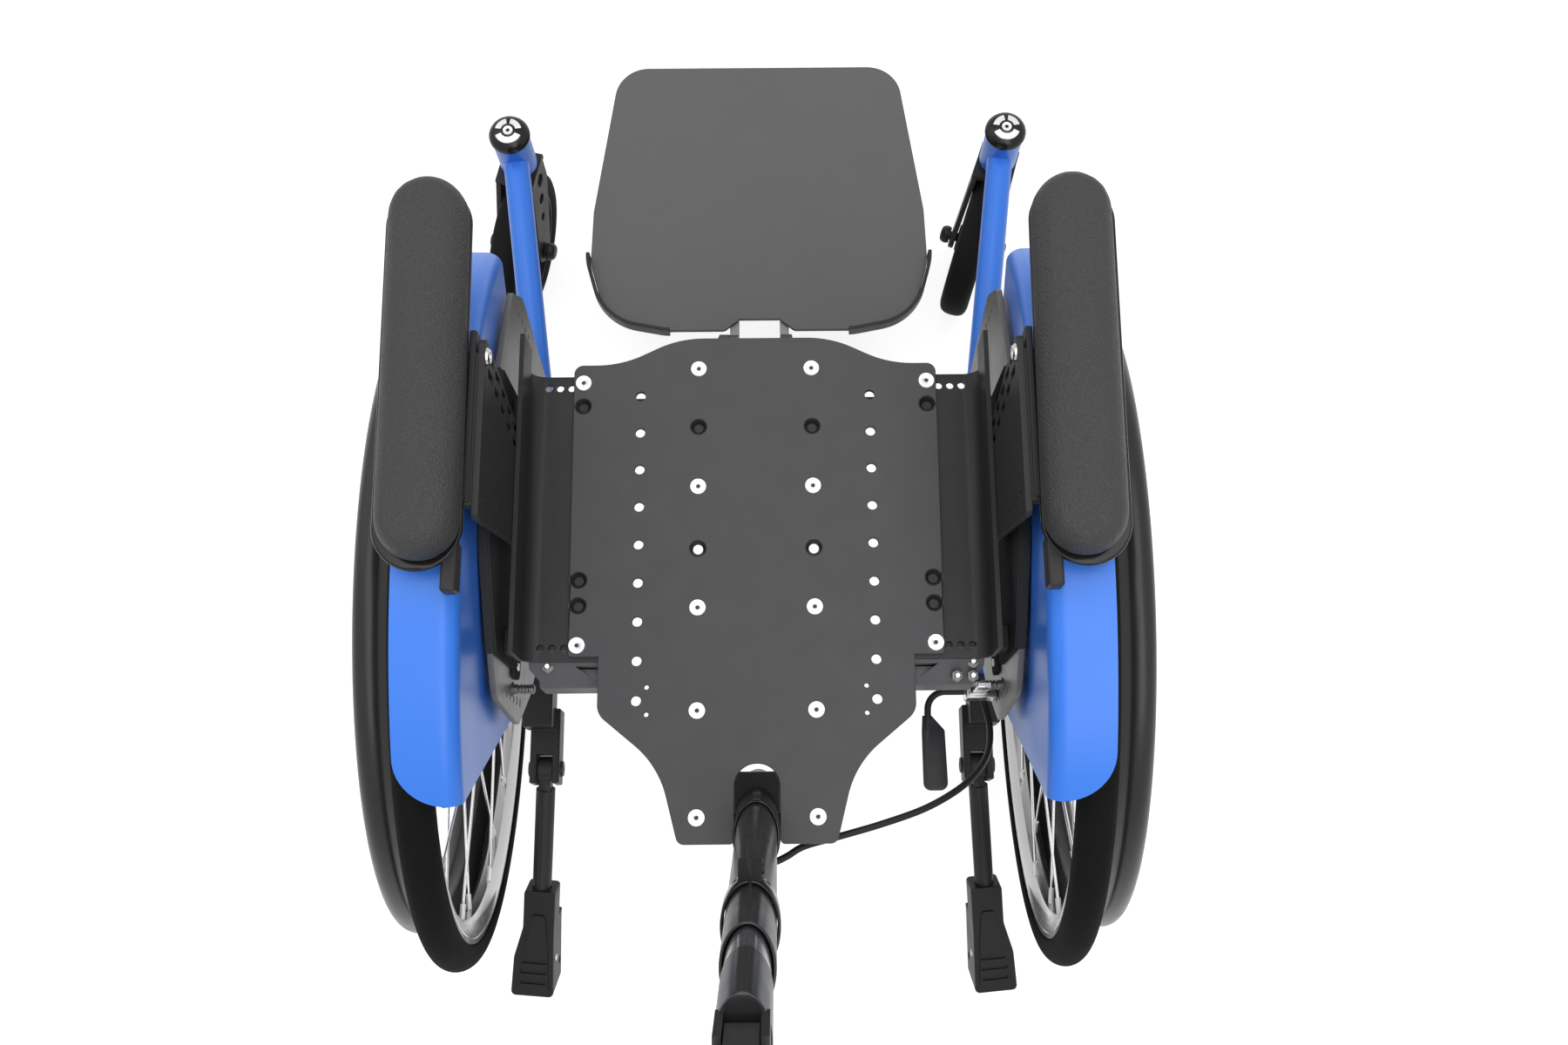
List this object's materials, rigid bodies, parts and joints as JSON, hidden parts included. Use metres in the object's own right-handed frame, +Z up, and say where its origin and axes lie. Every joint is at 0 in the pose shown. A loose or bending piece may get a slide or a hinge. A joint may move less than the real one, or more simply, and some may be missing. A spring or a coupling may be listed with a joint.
{
  "type": "pediatric manual wheelchair",
  "caption": "Small manual wheelchair chassis: drilled flat seat plate, cambered drive wheels with fenders, casters, footplate, armrests, anti-tippers and a push handle.",
  "frame": {"origin": "on the floor, in the middle of the chair's length and width", "axes": "+X to the chair's right, +Y to its front, +Z up"},
  "size_m": [0.5164, 0.8347, 0.9454],
  "materials": {
    "plate_grey": "fine satin dark grey powder coat",
    "black_metal": "satin black coat",
    "footplate_grey": "matt mid grey coat",
    "silver_alloy": "brushed, bare",
    "blue_paint": "satin blue paint",
    "chrome": "polished",
    "black_plastic": "fine grain moulded black",
    "rubber": "matt black",
    "pad_leather": "black grained vinyl"
  },
  "bodies": {
    "chassis": {"seat_plate": "plate_grey", "seat_rail_left": "black_metal", "seat_rail_right": "black_metal", "rear_cross_member": "footplate_grey", "front_cross_member": "black_metal", "side_plate_left": "silver_alloy", "side_plate_right": "silver_alloy", "frame_left": "blue_paint", "frame_right": "blue_paint", "under_frame": "blue_paint", "fender_left": "blue_paint", "fender_right": "blue_paint", "axle_left": "chrome", "axle_right": "chrome", "caster_cap_left": "black_plastic", "caster_cap_right": "black_plastic", "footplate_hanger": "silver_alloy", "post_socket": "black_plastic", "post_tube": "black_metal", "post_clamp": "black_plastic", "lever_block": "chrome", "release_cable": "black_plastic", "tip_bracket_left": "black_plastic", "tip_bracket_right": "black_plastic"},
    "drive_wheel_left": {"tyre_left": "rubber", "rim_left": "silver_alloy", "handrim_left": "black_plastic", "hub_left": "black_metal"},
    "caster_left": {"caster_fork_left": "black_metal", "caster_axle_left": "black_plastic"},
    "caster_wheel_left": {"caster_tyre_left": "rubber", "caster_core_left": "black_plastic"},
    "armrest_left": {"armrest_bracket_left": "black_metal", "armrest_pad_left": "pad_leather"},
    "tipper_left": {"tip_arm_left": "black_metal", "tip_foot_left": "black_plastic"},
    "tipper_wheel_left": {"tip_wheel_left": "rubber"},
    "drive_wheel_right": {"tyre_right": "rubber", "rim_right": "silver_alloy", "handrim_right": "black_plastic", "hub_right": "black_metal"},
    "caster_right": {"caster_fork_right": "black_metal", "caster_axle_right": "black_plastic"},
    "caster_wheel_right": {"caster_tyre_right": "rubber", "caster_core_right": "black_plastic"},
    "armrest_right": {"armrest_bracket_right": "black_metal", "armrest_pad_right": "pad_leather"},
    "tipper_right": {"tip_arm_right": "black_metal", "tip_foot_right": "black_plastic"},
    "tipper_wheel_right": {"tip_wheel_right": "rubber"},
    "footrest": {"footplate": "footplate_grey", "footplate_edge_left": "black_plastic", "footplate_edge_right": "black_plastic"},
    "handle_post": {"inner_post": "silver_alloy"},
    "push_handle": {"push_bar": "black_metal", "push_grip_left": "rubber", "push_grip_right": "rubber"},
    "lever": {"release_lever": "black_metal"}
  },
  "joints": [
    {"name": "drive_wheel_spin_left", "type": "hinge", "parent": "chassis", "child": "drive_wheel_left", "pos_m": [-0.2095, -0.099, 0.25363], "axis": [0.9985, 0, -0.0541], "continuous": true},
    {"name": "caster_swivel_left", "type": "hinge", "parent": "chassis", "child": "caster_left", "pos_m": [-0.21, 0.322, 0.17], "axis": [0, 0, 1], "continuous": true},
    {"name": "caster_wheel_spin_left", "type": "hinge", "parent": "caster_left", "child": "caster_wheel_left", "pos_m": [-0.219, 0.28303, 0.07], "axis": [0.9744, -0.225, 0], "continuous": true},
    {"name": "armrest_height_left", "type": "slide", "parent": "chassis", "child": "armrest_left", "axis": [0, 0, 1], "range_m": [0, 0.06]},
    {"name": "tipper_fold_left", "type": "hinge", "parent": "chassis", "child": "tipper_left", "pos_m": [-0.169, -0.205, 0.153], "axis": [-1, 0, 0], "range_deg": [0, 38]},
    {"name": "tipper_wheel_spin_left", "type": "hinge", "parent": "tipper_left", "child": "tipper_wheel_left", "pos_m": [-0.18471, -0.35015, 0.05842], "axis": [0.9962, -0.0872, 0], "continuous": true},
    {"name": "drive_wheel_spin_right", "type": "hinge", "parent": "chassis", "child": "drive_wheel_right", "pos_m": [0.2095, -0.099, 0.25363], "axis": [0.9985, 0, 0.0541], "continuous": true},
    {"name": "caster_swivel_right", "type": "hinge", "parent": "chassis", "child": "caster_right", "pos_m": [0.21, 0.322, 0.17], "axis": [0, 0, 1], "continuous": true},
    {"name": "caster_wheel_spin_right", "type": "hinge", "parent": "caster_right", "child": "caster_wheel_right", "pos_m": [0.19764, 0.28396, 0.07], "axis": [0.9511, -0.309, 0], "continuous": true},
    {"name": "armrest_height_right", "type": "slide", "parent": "chassis", "child": "armrest_right", "axis": [0, 0, 1], "range_m": [0, 0.06]},
    {"name": "tipper_fold_right", "type": "hinge", "parent": "chassis", "child": "tipper_right", "pos_m": [0.169, -0.205, 0.153], "axis": [-1, 0, 0], "range_deg": [0, 38]},
    {"name": "tipper_wheel_spin_right", "type": "hinge", "parent": "tipper_right", "child": "tipper_wheel_right", "pos_m": [0.18471, -0.35015, 0.05842], "axis": [0.9962, 0.0872, 0], "continuous": true},
    {"name": "footplate_fold", "type": "hinge", "parent": "chassis", "child": "footrest", "pos_m": [0, 0.168, 0.149], "axis": [1, 0, 0], "range_deg": [0, 88]},
    {"name": "handle_height", "type": "slide", "parent": "chassis", "child": "handle_post", "axis": [0, -0.2588, 0.9659], "range_m": [-0.02, 0.08]},
    {"name": "handle_tilt", "type": "hinge", "parent": "handle_post", "child": "push_handle", "pos_m": [0, -0.36087, 0.77398], "axis": [1, 0, 0], "range_deg": [-60, 60]},
    {"name": "lever_pull", "type": "hinge", "parent": "chassis", "child": "lever", "pos_m": [0.14, -0.171, 0.32], "axis": [-1, 0, 0], "range_deg": [0, 20], "stiffness_Nm_per_rad": 0.25, "springref_deg": -9.74}
  ]
}
